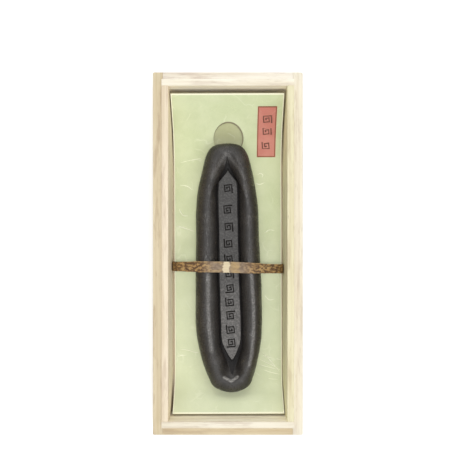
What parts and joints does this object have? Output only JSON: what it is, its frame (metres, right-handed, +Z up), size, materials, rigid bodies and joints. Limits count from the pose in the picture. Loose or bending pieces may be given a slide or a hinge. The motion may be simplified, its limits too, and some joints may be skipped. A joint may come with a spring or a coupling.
{
  "type": "boxed ink stick",
  "caption": "Long moulded ink stick strapped on a paper-covered card cradle in an open wooden box with a standing inner lip.",
  "frame": {"origin": "centre of the box's underside", "axes": "+Z up out of the open box; +Y along the box towards its head, where the finger notch and the label are; +X towards the label's side"},
  "size_m": [0.075, 0.1814, 0.031],
  "materials": {
    "box_wood": "matte",
    "peg_wood": "matte",
    "green_paper": "matte",
    "lining": "matte",
    "grey_board": "matte",
    "red_label": "matte",
    "ink": "satin",
    "bamboo_sheath": "satin"
  },
  "bodies": {
    "box": {"base_board": "box_wood", "left_wall": "box_wood", "right_wall": "box_wood", "head_wall": "box_wood", "foot_wall": "box_wood", "left_liner": "box_wood", "right_liner": "box_wood", "head_liner": "box_wood", "foot_liner": "box_wood", "base_pegs": "peg_wood", "corner_pegs": "peg_wood"},
    "cradle": {"cradle_lining": "lining", "cradle_card": "grey_board", "cradle_paper": "green_paper", "label": "red_label"},
    "ink_stick": {"ink_stick": "ink"},
    "strap": {"strap": "bamboo_sheath"}
  },
  "joints": [
    {"name": "cradle_lift", "type": "slide", "parent": "box", "child": "cradle", "axis": [0, 0, 1], "range_m": [0, 0.035]},
    {"name": "stick_lift", "type": "slide", "parent": "cradle", "child": "ink_stick", "axis": [0, 0, 1], "range_m": [0, 0.03]},
    {"name": "strap_lift", "type": "slide", "parent": "ink_stick", "child": "strap", "axis": [0, 0, 1], "range_m": [0, 0.02]}
  ]
}
